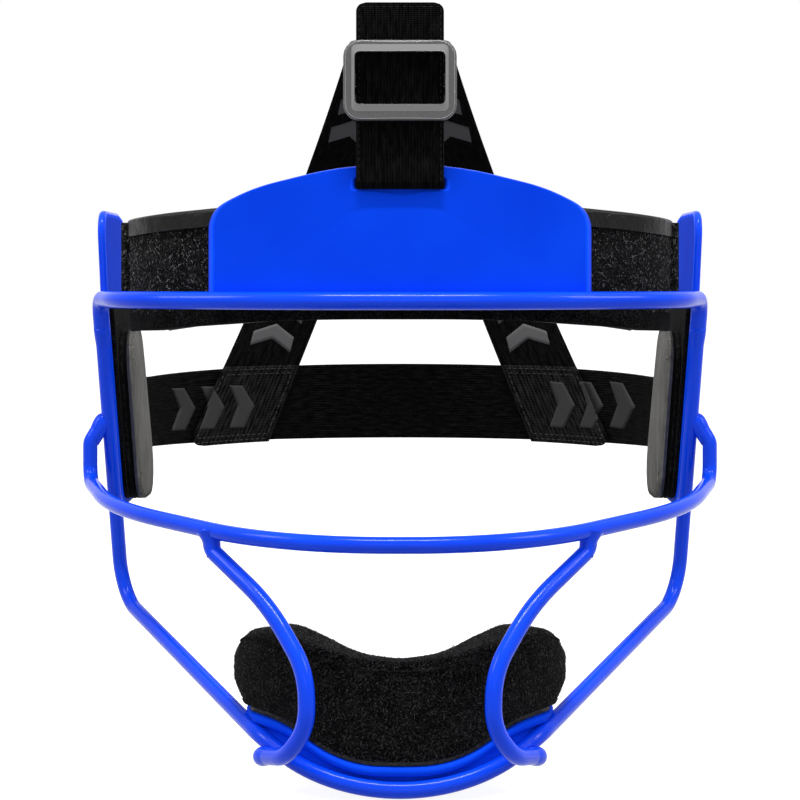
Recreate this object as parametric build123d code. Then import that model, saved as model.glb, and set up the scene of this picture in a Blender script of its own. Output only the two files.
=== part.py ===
from build123d import *
import os
from math import asin, atan2, cos, degrees, radians, sin, sqrt, tan

# A fielder's face guard for softball. A welded cage of coated steel rod carries a forehead
# plate, two temple plates and a chin plate. Pads held by hook strips sit inside the plates,
# and an elastic harness goes round the back of the head and over the crown.
#
# Millimetres. +X is the wearer's left, +Y runs back through the head and +Z is up. The origin
# is on the brow bar's axis at its foremost point, in the middle of the wearer's brow line.

# Rod cage
rod_diameter = 4.7
brow_bar_diameter = 5.4
weld_bite = 0.3
smooth_run_share = 0.46

brow_half_width = 97.4
brow_corner_back = 60.0
brow_corner_radius = 6.0
brow_leg_length = 11.0
# Corners of the brow bar's plan outline, as shares of its half width and its depth
brow_outline_shares = [(0.37, 0.0), (0.883, 0.45)]

side_lean = 2.6
side_bend_back = 81.0
side_bend_drop = 99.5
side_bend_radius = 14.0

cheek_front_reach = 45.1
cheek_front_drop = 66.2
cheek_rear_back = 66.5
cheek_rear_drop = 59.8
cheek_overhang = 4.1
cheek_rear_radius = 8.0
cheek_riser = 13.0
cheek_hook_radius = 4.0
cheek_weld_drop = 40.0
# Corners of the cheek bar's plan outline, as shares of its half width and its whole depth
cheek_outline_shares = [(0.329, 0.0), (0.86, 0.537)]

chin_wire_front = 41.85
chin_wire_drop = 133.8
chin_wire_half = 34.0
chin_wire_radius = 48.2
chin_wire_tilt = 36.5
chin_wire_run = 8.0

ring_top_half = 54.0
ring_forward_reach = 30.0
ring_stub_radius = 10.0
ring_end_run_share = 0.2
ring_lap_dip = 38.0
# Corners of a ring wire between its top and its end: share of the top's half width, share of
# the forward reach and share of the whole drop
ring_corner_shares = [(0.987, 0.03, 0.06), (0.667, 0.567, 0.28), (0.472, 0.955, 0.545),
                      (0.463, 1.0, 0.79), (0.574, 0.806, 0.95)]

# Steel plates
plate_thickness = 2.4
forehead_plate_half = 58.0
forehead_plate_top = 40.6
forehead_plate_crown = 13.5
forehead_plate_low = 2.0
forehead_corner_radius = 9.0

temple_plate_top = 29.0
temple_plate_bottom = 70.0
temple_plate_rear = 126.0
temple_plate_inset = 1.0
temple_front_radius = 8.0
temple_top_radius = 28.0
temple_rear_radius = 24.0
temple_foot_radius = 6.0
temple_slot_margin = 7.0
temple_slot_width = 3.6

chin_plate_half = 45.0
chin_lip_above_wire = 6.2
chin_lip_rise = 11.4
chin_plate_depth = 22.0
chin_plate_rear = 4.0
chin_lip_overhang = 0.7
# Corners of the chin plate's front outline, as shares of its half width and its rise
chin_lip_shares = [(0.333, 0.0), (0.733, 0.886), (1.0, 1.0)]

# Pads
soft_gap = 0.3
hook_thickness = 1.4
loop_thickness = 1.4
lining_thickness = 1.1

forehead_pad_low = 5.6
forehead_pad_top = 29.1
forehead_pad_droop = 6.0
forehead_pad_end = 47.0
forehead_foam = 10.0
forehead_crown = 2.0
forehead_binding = 4.8
binding_thickness = 0.8
forehead_hook_half = 50.0
hook_margin = 5.0

temple_pad_top = 10.5
temple_pad_bottom = 68.0
temple_pad_front_margin = 3.0
temple_pad_top_length = 30.0
temple_pad_radius = 11.0
temple_foam = 2.2
temple_foam_draft = 14.0

chin_pad_radius = 48.5
chin_pad_thickness = 17.0
chin_pad_height = 28.1
chin_pad_sweep = 62.0
chin_pad_edge_radius = 6.5
chin_pad_lobe_rise = 7.0
# Stations along half the chin pad, from its middle: share of its sweep, share of its full
# thickness, share of the lobe's rise at the top and share of the tray's rise at the bottom
chin_pad_station_shares = [(0.0, 0.6, 0.05, -0.2), (0.2, 0.66, 0.2, -0.1),
                           (0.45, 1.0, 0.65, 0.0), (0.68, 1.0, 1.04, 0.4),
                           (0.84, 1.0, 0.9, 0.9), (1.0, 0.74, -0.3, 1.4),
                           (1.08, 0.3, -0.85, 1.37)]
# Up to this share of the sweep the pad's front face stays where it is as the pad thins
chin_pad_front_share = 0.5

# Harness
strap_width = 26.0
strap_thickness = 1.6
strap_clearance = 1.2
strap_tail_top = 88.2
strap_tail_radius = 2.6
strap_fold_radius = 1.6
slot_height = 3.9
slot_corner_radius = 1.2
slot_middle = 34.75
strap_sewn_top = 50.0

glide_width = 33.4
glide_height = 23.7
glide_middle = 65.0
glide_corner_radius = 4.7
glide_window_radius = 1.5
glide_side_rim = 2.8
glide_top_rim = 3.4
glide_bottom_rim = 4.7
glide_thickness = 2.6
glide_edge_radius = 0.6
glide_bar_height = 3.6
glide_bar_thickness = 2.0

crown_loop_reach = 11.0
head_centre_back = 109.0
back_strap_radius = 95.2
back_strap_middle = 41.6
back_strap_height = 29.3
back_strap_end_height = 25.1
sewn_gap = 0.1
crown_rise = 22.0
crown_radius = 78.0
crown_base_drop = 15.0
crown_lap = 41.0
crown_split = 21.0
crown_descent = 8.0
crown_front_radius = 9.0
vee_foot_half = 59.0
vee_slant = 21.5
vee_parting = 0.2
patch_thickness = 0.8
tab_start = 22.0
tab_turn = 10.0
tab_lead = 1.5
tab_lap = 42.0
tab_gap = 0.6

# Cutting bodies run past the part by this much
overrun = 150.0


def limited_bends(points, radii):
    """Straight runs joined by tangent arcs, each of its asked radius or what its runs allow."""
    corners = [Vector(*point) for point in points]
    kept = []
    for before, corner, after, radius in zip(corners, corners[1:], corners[2:], radii):
        turn = (corner - before).get_angle(after - corner)
        shorter = min((corner - before).length, (after - corner).length)
        allowed = smooth_run_share * shorter / tan(radians(turn) / 2)
        kept.append(allowed if radius is None else min(radius, allowed))
    return FilletPolyline(*corners, radius=kept)


def rod(path, diameter):
    """A round rod along a path."""
    return sweep(Plane(path @ 0, z_dir=path % 0) * Circle(diameter / 2), path=path)


def plan_section(path):
    """The plane across a level path's start: local x towards the head, local y up."""
    ahead = path % 0
    return Plane(path @ 0, x_dir=Vector(0, 0, 1).cross(ahead), z_dir=ahead)


def band(path, near, far, low, high):
    """A band that follows a level path, from near to far behind it and from low to high."""
    middle = Pos((near + far) / 2, (low + high) / 2)
    return sweep(plan_section(path) * middle * Rectangle(far - near, high - low), path=path)


def webbing(path, width):
    """Flat webbing along a path in the YZ plane, its width along X."""
    across = Plane(path @ 0, x_dir=(1, 0, 0), z_dir=path % 0)
    return sweep(across * Rectangle(width, strap_thickness), path=path)


def front_slab(face, front, back):
    """A front outline, drawn in X and Z, taken through the part from one Y to another."""
    return extrude(Plane((0, back, 0), x_dir=(1, 0, 0), z_dir=(0, -1, 0)) * face,
                   amount=back - front)


def plan_ring(centre, outer, inner, low, high):
    """A level ring about a vertical axis at the given Y."""
    return Pos(0, centre, low) * extrude(Circle(outer) - Circle(inner), amount=high - low)


def both_ways(outline):
    """A right-hand outline from the middle outwards, repeated on the left, in order."""
    return [(-x, *rest) for x, *rest in reversed(outline)] + list(outline)


def other_side(piece):
    """The same piece on the wearer's right."""
    return mirror(piece, about=Plane.YZ)


def save(node, piece):
    export_step(piece, f"parts/{node}.step")


def save_pair(name, piece, ending=""):
    """A piece on the wearer's left, and its mirror image on the right."""
    save(f"{name}_left{ending}", piece)
    save(f"{name}_right{ending}", other_side(piece))


os.makedirs("parts", exist_ok=True)

# Brow bar: a bow round the brow with both ends turned down into the side wires
side_slope = tan(radians(side_lean))


def on_side(back, height):
    """A point of the leaning side plane that holds the side wire and the temple plate."""
    return Vector(brow_half_width + height * side_slope, back, height)


brow_outline = [(across * brow_half_width, along * brow_corner_back, 0)
                for across, along in brow_outline_shares]
brow_outline.append((brow_half_width, brow_corner_back, 0))
brow_path = limited_bends(both_ways(brow_outline), [None] * 4)

side_corner = on_side(brow_corner_back, 0)
side_bend = on_side(side_bend_back, -side_bend_drop)
side_direction = (side_bend - side_corner).normalized()
leg_end = side_corner + side_direction * brow_leg_length
brow_rod_outline = both_ways(brow_outline + [tuple(leg_end)])
brow_bar = rod(limited_bends(brow_rod_outline,
                             [brow_corner_radius] + [None] * 4 + [brow_corner_radius]),
               brow_bar_diameter)
save("brow_bar", brow_bar)

# Chin wire: one arc in a plane that tilts up towards the back
chin_plane = Plane((0, -chin_wire_front, -chin_wire_drop), x_dir=(1, 0, 0),
                   z_dir=(0, 0, 1)).rotated((chin_wire_tilt, 0, 0))
chin_sag = chin_wire_radius - sqrt(chin_wire_radius ** 2 - chin_wire_half ** 2)
chin_end = chin_plane.from_local_coords(Vector(chin_wire_half, chin_sag, 0))
chin_front = chin_plane.origin
chin_far_end = Vector(-chin_end.X, chin_end.Y, chin_end.Z)
chin_path = ThreePointArc(chin_far_end, chin_front, chin_end)
save("chin_wire", rod(chin_path, rod_diameter))

# Side wires: down from the brow bar, then forward and in to the chin wire's ends
chin_corner = chin_end + (chin_path % 1) * chin_wire_run
save_pair("side_wire", rod(limited_bends([leg_end, side_bend, chin_corner, chin_end],
                                         [side_bend_radius, None]), rod_diameter))

# Cheek bar: a bow round the face whose ends rise and hook in to the side wires
cheek_half_width = brow_half_width + cheek_overhang
cheek_depth = cheek_front_reach + cheek_rear_back
cheek_slope = (cheek_front_drop - cheek_rear_drop) / cheek_depth


def on_cheek(across, along):
    """A corner of the cheek bar, from its front outline's shares."""
    return (across * cheek_half_width, along * cheek_depth - cheek_front_reach,
            along * cheek_depth * cheek_slope - cheek_front_drop)


cheek_outline = [on_cheek(across, along) for across, along in cheek_outline_shares]
cheek_outline.append(on_cheek(1, 1))
cheek_outline.append((cheek_half_width, cheek_rear_back, cheek_riser - cheek_rear_drop))
weld_share = cheek_weld_drop / side_bend_drop
weld_axis = side_corner + (side_bend - side_corner) * weld_share
cheek_seat = weld_axis + Vector(rod_diameter / 2 - weld_bite, 0, 0)
cheek_outline.append(tuple(cheek_seat))
cheek_radii = [cheek_hook_radius, cheek_rear_radius, None, None]
cheek_path = limited_bends(both_ways(cheek_outline), cheek_radii + cheek_radii[::-1])
save("cheek_bar", rod(cheek_path, rod_diameter))

# Ring wires: from under the cheek bar, round in front of the chin, lapping the side wires
ring_cut = Plane((ring_top_half, 0, 0), z_dir=(1, 0, 0))
ring_axis = cheek_path.intersect(ring_cut)[0].center()
ring_top = ring_axis - Vector(0, 0, rod_diameter / 2 - weld_bite)
lap = chin_end + (chin_corner - chin_end) * ring_end_run_share
lap_direction = (chin_corner - chin_end).normalized()
outward = Vector(0, -cos(radians(ring_lap_dip)), -sin(radians(ring_lap_dip)))
outward = (outward - lap_direction * outward.dot(lap_direction)).normalized()
ring_end = lap + outward * (rod_diameter - weld_bite)
ring_drop = ring_top.Z - ring_end.Z
ring_outline = [tuple(ring_top)]
for across, forward, down in ring_corner_shares:
    ring_outline.append((across * ring_top.X, ring_top.Y - forward * ring_forward_reach,
                         ring_top.Z - down * ring_drop))
ring_outline.append(tuple(ring_end))
save_pair("ring_wire", rod(limited_bends(ring_outline, [ring_stub_radius] + [None] * 4),
                           rod_diameter))

# Forehead plate: a curved plate behind the brow bar, domed on top, with the strap's slot
plate_front = brow_bar_diameter / 2 - weld_bite
plate_back = plate_front + plate_thickness
shoulder = forehead_plate_top - forehead_plate_crown
plate_left = (-forehead_plate_half, shoulder)
plate_right = (forehead_plate_half, shoulder)
plate_outline = make_face(
    Polyline(plate_left, (-forehead_plate_half, -forehead_plate_low),
             (forehead_plate_half, -forehead_plate_low), plate_right)
    + ThreePointArc(plate_right, (0, forehead_plate_top), plate_left))
plate_corners = plate_outline.vertices().sort_by(Axis.Y)[-2:]
plate_outline = fillet(plate_corners, forehead_corner_radius)
slot_width = strap_width + strap_clearance
slot = Pos(0, slot_middle) * RectangleRounded(slot_width, slot_height, slot_corner_radius)
forehead_plate = band(brow_path, plate_front, plate_back, -forehead_plate_low,
                      forehead_plate_top)
forehead_plate = forehead_plate & front_slab(plate_outline - slot, -overrun, overrun)
save("forehead_plate", forehead_plate)

# Temple plates: inside the side plane, behind the side wire, with a slot at the rear for the
# strap
temple_plane = Plane(side_corner, x_dir=(0, 1, 0), z_dir=(1, 0, -side_slope))
temple_plane = temple_plane.offset(-temple_plate_inset)
edge_gap = rod_diameter / 2 - weld_bite
bend_slope = (side_bend_back - brow_corner_back) / side_bend_drop
brow_edge = brow_bar_diameter / 2 - weld_bite


def wire_back(height):
    """Where a plate that butts on the side wire's back begins, from the brow bar's corner."""
    return edge_gap - height * bend_slope


plate_rear = temple_plate_rear - brow_corner_back
temple_outline = Polyline((brow_edge, temple_plate_top), (plate_rear, temple_plate_top),
                          (plate_rear, -temple_plate_bottom),
                          (wire_back(-temple_plate_bottom), -temple_plate_bottom),
                          (brow_edge, 0), close=True)
temple_face = make_face(temple_outline)


def corner_at(face, along, height):
    """The corner of a flat outline that lies nearest to a place."""
    place = Vector(along, height, 0)
    return min(face.vertices(), key=lambda corner: (corner.center() - place).length)


for along, height, radius in [(brow_edge, temple_plate_top, temple_front_radius),
                              (plate_rear, temple_plate_top, temple_top_radius),
                              (plate_rear, -temple_plate_bottom, temple_rear_radius),
                              (wire_back(-temple_plate_bottom), -temple_plate_bottom,
                               temple_foot_radius)]:
    temple_face = fillet(corner_at(temple_face, along, height), radius)
strap_slot_along = plate_rear - temple_slot_margin
strap_slot = Pos(strap_slot_along, -back_strap_middle) * RectangleRounded(
    temple_slot_width, back_strap_end_height + strap_clearance, temple_slot_width / 3)
temple_plate = temple_plane * extrude(temple_face - strap_slot, amount=plate_thickness / 2,
                                    both=True)
save_pair("temple_plate", temple_plate)

# Chin plate: a curved tray whose lip stands over the chin wire, with a flange down to the wire
chin_lip_drop = chin_wire_drop - chin_lip_above_wire
lip_outline = [(across * chin_plate_half, rise * chin_lip_rise - chin_lip_drop)
               for across, rise in chin_lip_shares]


def tray_curve(lift, reach=0):
    """The tray's top line from the front, lifted, with its two ends run out level."""
    points = [(x, z + lift, 0) for x, z in both_ways(lip_outline)]
    path = limited_bends(points, [None] * 4)
    if reach:
        path = Line(path @ 0 - Vector(reach, 0, 0), path @ 0) + path
        path += Line(path @ 1, path @ 1 + Vector(reach, 0, 0))
    return path


def tray_layer(low, high, reach=0):
    """The front outline between the tray's line lifted by low and by high."""
    below, above = tray_curve(low, reach), tray_curve(high, reach)
    return make_face(below + Line(below @ 1, above @ 1) + above + Line(above @ 0, below @ 0))


wire_sag = chin_end.Y + chin_wire_front
wire_plan_radius = (chin_wire_half ** 2 + wire_sag ** 2) / (2 * wire_sag)
chin_centre = wire_plan_radius - chin_wire_front
lip_radius = wire_plan_radius + chin_lip_overhang
flange_radius = wire_plan_radius - rod_diameter / 2 + weld_bite
chin_low, chin_high = -chin_wire_drop - rod_diameter, chin_lip_rise - chin_lip_drop + overrun
tray = front_slab(tray_layer(-plate_thickness, 0), -overrun, -chin_plate_rear)
tray = tray & plan_ring(chin_centre, lip_radius, lip_radius - chin_plate_depth, chin_low,
                        chin_high)
under = tray_curve(-plate_thickness / 2)
flange_face = make_face(
    under + Line(under @ 1, (chin_end.X, chin_end.Z))
    + ThreePointArc((chin_end.X, chin_end.Z), (0, -chin_wire_drop), (-chin_end.X, chin_end.Z))
    + Line((-chin_end.X, chin_end.Z), under @ 0))
flange = front_slab(flange_face, -overrun, -chin_plate_rear)
flange = flange & plan_ring(chin_centre, flange_radius, flange_radius - plate_thickness,
                            chin_low, chin_high)
save("chin_plate", tray + flange)

# Forehead pad: layers that follow the brow bar, hung on a hook strip behind the plate
hook_face = plate_back + hook_thickness
forehead_hook = band(brow_path, plate_back, hook_face, 0,
                     forehead_pad_top - forehead_binding - hook_margin)
forehead_hook_span = Rectangle(2 * forehead_hook_half, overrun)
save("forehead_hook_strip", forehead_hook & front_slab(forehead_hook_span, -overrun, overrun))

loop_face = hook_face + soft_gap
foam_face = loop_face + loop_thickness
foam_back = foam_face + forehead_foam
binding_low = forehead_pad_top - forehead_binding
pad_middle = (forehead_pad_top - forehead_pad_low) / 2
behind_ends = front_slab(Rectangle(2 * overrun, overrun), -overrun, forehead_pad_end)
level_half = brow_outline[0][0]
pad_outline = [(x, y, forehead_pad_droop * (level_half ** 2 - x ** 2) / brow_half_width ** 2)
               for x, y, z in brow_outline]
pad_path = limited_bends(both_ways(pad_outline), [None] * 4).trim(0.5, 1)


def brow_sweep(section):
    """A section drawn in distance behind the brow bar and height, carried round the brow and
    down a little towards the temples."""
    half_pad = sweep(plan_section(pad_path) * section, path=pad_path) & behind_ends
    return half_pad + other_side(half_pad)


def crown_line(back):
    """The bulging head side of the forehead pad, from its low edge to its top edge."""
    return ThreePointArc((back, -forehead_pad_low), (back + forehead_crown, pad_middle),
                         (back, forehead_pad_top))


foam_line, lining_line = crown_line(foam_back), crown_line(foam_back + lining_thickness)
foam_section = make_face(foam_line + Polyline(foam_line @ 1, (foam_face, forehead_pad_top),
                                              (foam_face, -forehead_pad_low), foam_line @ 0))
lining_section = make_face(foam_line + Line(foam_line @ 1, lining_line @ 1) + lining_line
                           + Line(lining_line @ 0, foam_line @ 0))
binding_top = forehead_pad_top + binding_thickness
binding_front = loop_face - binding_thickness
binding_section = make_face(Polyline(
    (binding_front, binding_low), (loop_face, binding_low), (loop_face, forehead_pad_top),
    (foam_back, forehead_pad_top), (foam_back, binding_top), (binding_front, binding_top),
    close=True))
loop_section = Pos((loop_face + foam_face) / 2, pad_middle) * Rectangle(
    loop_thickness, forehead_pad_top + forehead_pad_low)
save("forehead_pad_loop", brow_sweep(loop_section))
save("forehead_pad_foam", brow_sweep(foam_section))
save("forehead_pad_lining", brow_sweep(lining_section))
save("forehead_pad_binding", brow_sweep(binding_section))

# Temple pads: flat layers on the inner side of each temple plate
pad_rear = strap_slot_along - temple_slot_width / 2 - soft_gap
pad_top_front = wire_back(-temple_pad_top) + temple_pad_front_margin
pad_foot_front = wire_back(-temple_pad_bottom) + temple_pad_front_margin
temple_pad_outline = Polyline(
    (pad_top_front, -temple_pad_top), (pad_top_front + temple_pad_top_length, -temple_pad_top),
    (pad_rear, -temple_pad_bottom), (pad_foot_front, -temple_pad_bottom), close=True)
pad_face = make_face(temple_pad_outline)
pad_face = fillet(pad_face.vertices(), temple_pad_radius)


def temple_layer(face, start, thickness, draft=0):
    """A layer on the temple plate's inner side, start millimetres in from its face."""
    depth = -plate_thickness / 2 - start
    return temple_plane * Pos(0, 0, depth) * extrude(face, amount=thickness, dir=(0, 0, -1),
                                                   taper=draft)


temple_loop_start = hook_thickness + soft_gap
temple_foam_start = temple_loop_start + loop_thickness
draft_inset = temple_foam * tan(radians(temple_foam_draft))
save_pair("temple_hook_strip", temple_layer(offset(pad_face, -hook_margin), 0, hook_thickness))
save_pair("temple_pad", temple_layer(pad_face, temple_loop_start, loop_thickness), "_loop")
save_pair("temple_pad", temple_layer(pad_face, temple_foam_start, temple_foam,
                                     temple_foam_draft), "_foam")
save_pair("temple_pad", temple_layer(offset(pad_face, -draft_inset),
                                     temple_foam_start + temple_foam, lining_thickness),
          "_lining")

# Chin pad: a crowned cushion bent round the chin, its underside seated on the tray's hook strip
chin_hook = front_slab(tray_layer(0, hook_thickness), -overrun,
                       -chin_plate_rear - hook_margin / 2)
chin_hook_span = Rectangle(2 * chin_plate_half - hook_margin, 2 * chin_wire_drop)
chin_hook = chin_hook & front_slab(chin_hook_span, -overrun, 0)
chin_hook_outer = lip_radius - hook_margin / 2
chin_hook_inner = lip_radius - chin_plate_depth + hook_margin / 2
save("chin_hook_strip", chin_hook & plan_ring(chin_centre, chin_hook_outer, chin_hook_inner,
                                              chin_low, chin_high))


def chin_section(shares, core=False):
    """A section across the chin pad, at its share of the sweep round the chin: its own rounded
    outline, or a plain block that takes in all of it but the lining on the head's side."""
    sweep_share, thick_share, top_share, bottom_share = shares
    top = chin_pad_lobe_rise * top_share + chin_pad_height - chin_lip_drop
    bottom = chin_lip_rise * bottom_share - chin_lip_drop
    wide = chin_pad_thickness * thick_share
    corner = min(chin_pad_edge_radius, smooth_run_share * min(wide, top - bottom))
    turned = Rot(0, 0, chin_pad_sweep * sweep_share)
    scoop = chin_pad_thickness - wide if abs(sweep_share) < chin_pad_front_share else 0
    across = Plane((0, -chin_pad_radius - scoop / 2, (top + bottom) / 2), x_dir=(0, 1, 0),
                   z_dir=(1, 0, 0))
    if core:
        block = Rectangle(wide + overrun - lining_thickness, top - bottom + overrun)
        section = across * Pos(-(overrun + lining_thickness) / 2) * block
    else:
        section = across * RectangleRounded(wide, top - bottom, corner)
    return Pos(0, chin_centre, 0) * turned * section


far_stations = [(-share, *rest) for share, *rest in reversed(chin_pad_station_shares[1:])]
chin_stations = far_stations + chin_pad_station_shares
chin_pad = loft([chin_section(shares) for shares in chin_stations])
seat_lift = hook_thickness + soft_gap
chin_pad = chin_pad - front_slab(tray_layer(-overrun, seat_lift, overrun), -overrun, overrun)
face_radius = chin_pad_radius + chin_pad_thickness / 2 - loop_thickness
chin_core = chin_pad & loft([chin_section(shares, core=True) for shares in chin_stations])
save("chin_pad_loop", chin_core & plan_ring(chin_centre, overrun, face_radius, chin_low,
                                            chin_high))
save("chin_pad_foam", chin_core - plan_ring(chin_centre, overrun, face_radius, chin_low,
                                            chin_high))
save("chin_pad_lining", chin_pad - chin_core)

# Front strap: down from its tail, in through the forehead plate's slot, up behind and sewn
plate_bow = strap_width * strap_width / (8 * brow_half_width)
front_ply = plate_front - soft_gap - strap_thickness / 2
back_ply = plate_back + plate_bow + soft_gap + strap_thickness / 2
sewn_ply = front_ply + strap_thickness + sewn_gap / 2
strap_pass = slot_middle - slot_height / 2 + soft_gap + strap_thickness / 2
front_strap = webbing(limited_bends(
    [(0, front_ply, strap_tail_top), (0, front_ply, strap_pass), (0, back_ply, strap_pass),
     (0, back_ply, forehead_plate_top + strap_thickness),
     (0, sewn_ply, forehead_plate_top + strap_thickness + (back_ply - sewn_ply)),
     (0, sewn_ply, strap_sewn_top)], [strap_fold_radius] * 4), strap_width)
tail_corners = front_strap.edges().filter_by(Axis.Y).group_by(Axis.Z)[-1]
save("front_strap", fillet(tail_corners, strap_tail_radius))

# Slide adjuster: a frame in front of the strap, and a middle bar behind it between two posts
glide_back = front_ply - strap_thickness / 2 - soft_gap
window_height = glide_height - glide_top_rim - glide_bottom_rim
window_middle = glide_middle + (glide_bottom_rim - glide_top_rim) / 2
glide_frame = Pos(0, glide_middle) * RectangleRounded(glide_width, glide_height,
                                                      glide_corner_radius)
window_width = glide_width - 2 * glide_side_rim
glide_frame = glide_frame - Pos(0, window_middle) * RectangleRounded(
    window_width, window_height, glide_window_radius)
glide = front_slab(glide_frame, glide_back - glide_thickness, glide_back)
glide = fillet(glide.edges().group_by(Axis.Y)[0], glide_edge_radius)
bar_front = front_ply + strap_thickness / 2 + soft_gap + strap_thickness + soft_gap
bar_back = bar_front + glide_bar_thickness
post = Rectangle(glide_side_rim, glide_bar_height + glide_side_rim)
post_across = (window_width + glide_side_rim) / 2
for side in (-1, 1):
    glide += front_slab(Pos(side * post_across, window_middle) * post, glide_back, bar_back)
glide += front_slab(Pos(0, window_middle) * Rectangle(window_width, glide_bar_height), bar_front,
                    bar_back)
save("tri_glide", glide)

# Crown loop: sewn round the middle bar, its two plies pressed together above it
crown_loop_top = glide_middle + crown_loop_reach
inner_ply = bar_front - soft_gap - strap_thickness / 2
outer_ply = bar_back + soft_gap + strap_thickness / 2
pressed_ply = outer_ply - strap_thickness - sewn_gap
loop_foot = window_middle - glide_bar_height / 2 - soft_gap - strap_thickness / 2
loop_neck = window_middle + glide_bar_height / 2 + strap_thickness
save("crown_loop", webbing(limited_bends(
    [(0, pressed_ply, crown_loop_top), (0, pressed_ply, loop_neck + pressed_ply - inner_ply),
     (0, inner_ply, loop_neck), (0, inner_ply, loop_foot), (0, outer_ply, loop_foot),
     (0, outer_ply, crown_loop_top)], [strap_fold_radius] * 4), strap_width))

# Crown strap: from the loop, back over the crown, and down to where the V straps part
crown_height = crown_loop_top + crown_rise
crown_hub = crown_height - crown_radius
strap_arc_radius = crown_radius + soft_gap + strap_thickness / 2


def over_crown(turn):
    """A point of the crown strap's arc, turned back from the top of the head."""
    return Vector(0, head_centre_back + strap_arc_radius * sin(radians(turn)),
                  crown_hub + strap_arc_radius * cos(radians(turn)))


lap_turn = degrees(asin(crown_lap / strap_arc_radius))
leave = over_crown(-crown_descent)
descent = (leave.Y - outer_ply) * tan(radians(crown_descent))
crown_arc = ThreePointArc(over_crown(lap_turn), over_crown((lap_turn - crown_descent) / 2), leave)
crown_front = limited_bends([tuple(leave), (0, outer_ply, leave.Z - descent),
                             (0, outer_ply, crown_loop_top)], [crown_front_radius])
save("crown_strap", webbing(crown_arc + crown_front, strap_width))

# V straps: webbing that lies on a dome round the back of the head, cut by two slanting strips
dome_radius = back_strap_radius - strap_thickness / 2 - sewn_gap
dome_rise = crown_hub + crown_base_drop
dome_side_radius = ((dome_radius ** 2 + dome_rise ** 2 - crown_radius ** 2)
                    / (2 * (dome_radius - crown_radius)))
side_hub = dome_radius - dome_side_radius
side_turn = degrees(atan2(dome_rise, -side_hub))
back_low = -back_strap_middle - back_strap_height / 2


def dome_line(inset):
    """The dome's outline from the back strap up to the crown, in radius and height."""
    wall = dome_radius - inset
    side = CenterArc((side_hub, -crown_base_drop), dome_side_radius - inset, 0, side_turn)
    top = CenterArc((0, crown_hub), crown_radius - inset, side_turn, 90 - side_turn)
    return Line((wall, back_low), (wall, -crown_base_drop)) + side + top


dome_outer, dome_inner = dome_line(0), dome_line(strap_thickness)
dome_face = make_face(dome_outer + dome_inner
                      + Line((dome_radius, back_low), (dome_radius - strap_thickness, back_low))
                      + Line((0, crown_height), (0, crown_height - strap_thickness)))
dome = Pos(0, head_centre_back, 0) * revolve(Plane.XZ * dome_face, Axis.Z, 180)
vee_strip = Pos(vee_foot_half, -back_strap_middle) * Rot(0, 0, vee_slant) * Rectangle(
    strap_width, 4 * crown_height)
own_side = Pos(overrun + vee_parting, 0) * Rectangle(2 * overrun, 4 * overrun)
vee_cut = front_slab(vee_strip & own_side, head_centre_back + crown_split, 2 * overrun)
save_pair("crown_strap", dome & vee_cut)

patch_outer = dome_radius - strap_thickness - sewn_gap
save_pair("crown_patch", vee_cut & plan_ring(head_centre_back, patch_outer,
                                             patch_outer - patch_thickness, back_low,
                                             back_low + back_strap_height))

# Back strap: round the back of the head, tapering towards the temples
strap_start = head_centre_back + tab_start
strap_rear = head_centre_back + back_strap_radius + strap_thickness
half_end, half_back = back_strap_end_height / 2, back_strap_height / 2
strap_side = make_face(Polyline(
    (strap_start, -back_strap_middle - half_end), (strap_rear, -back_strap_middle - half_back),
    (strap_rear, -back_strap_middle + half_back), (strap_start, -back_strap_middle + half_end),
    close=True))
back_strap = plan_ring(head_centre_back, back_strap_radius + strap_thickness / 2,
                       back_strap_radius - strap_thickness / 2, back_low,
                       back_low + back_strap_height)
save("back_strap", back_strap & extrude(Plane.YZ * strap_side, amount=overrun, both=True))

# Strap tabs: the back strap's ends, out through the temple plates' slots and folded back
slot_back = brow_corner_back + strap_slot_along
plate_side = brow_half_width - temple_plate_inset
beside_plate = plate_thickness / 2 + soft_gap + strap_thickness / 2
strap_across = sqrt(back_strap_radius ** 2 - tab_start ** 2)
inner_across = plate_side - (back_strap_middle + half_end) * side_slope - beside_plate
outer_across = plate_side - (back_strap_middle - half_end) * side_slope + beside_plate
tab_radius = back_strap_radius + strap_thickness + tab_gap


def beside_strap(along):
    """A point just outside the back strap, at a distance behind the head's centre."""
    return (sqrt(tab_radius ** 2 - along ** 2), head_centre_back + along, -back_strap_middle)


tab_path = limited_bends(
    [(strap_across, strap_start, -back_strap_middle),
     (strap_across, strap_start - tab_lead, -back_strap_middle),
     (inner_across, temple_plate_rear, -back_strap_middle),
     (inner_across, slot_back, -back_strap_middle),
     (outer_across, slot_back, -back_strap_middle),
     (outer_across, slot_back + tab_turn, -back_strap_middle),
     beside_strap((tab_turn + tab_lap) / 2), beside_strap(tab_lap)],
    [strap_fold_radius] * 4 + [None, None])
tab_section = plan_section(tab_path) * Rectangle(strap_thickness, back_strap_end_height)
save_pair("strap_tab", sweep(tab_section, path=tab_path))
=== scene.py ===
# %% [markdown]
# # A fielder's face guard for softball
#
# The guard is a welded cage of steel rod under thick blue powder coat, with pads on hook and loop
# inside its plates and an elastic harness for the head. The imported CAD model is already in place,
# in metres: +X is the wearer's left, +Y runs back and +Z is up. This lesson gives the bare rods
# their coat, and remakes every soft piece and coated plate as a surface worked out with numpy, in
# millimetres that are turned to metres in one place.

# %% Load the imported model
import bpy
import numpy as np
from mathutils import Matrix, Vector
from numpy import array, clip, cos, linspace, pi, radians, sin, sqrt, stack
from numpy import concatenate as joined


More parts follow.
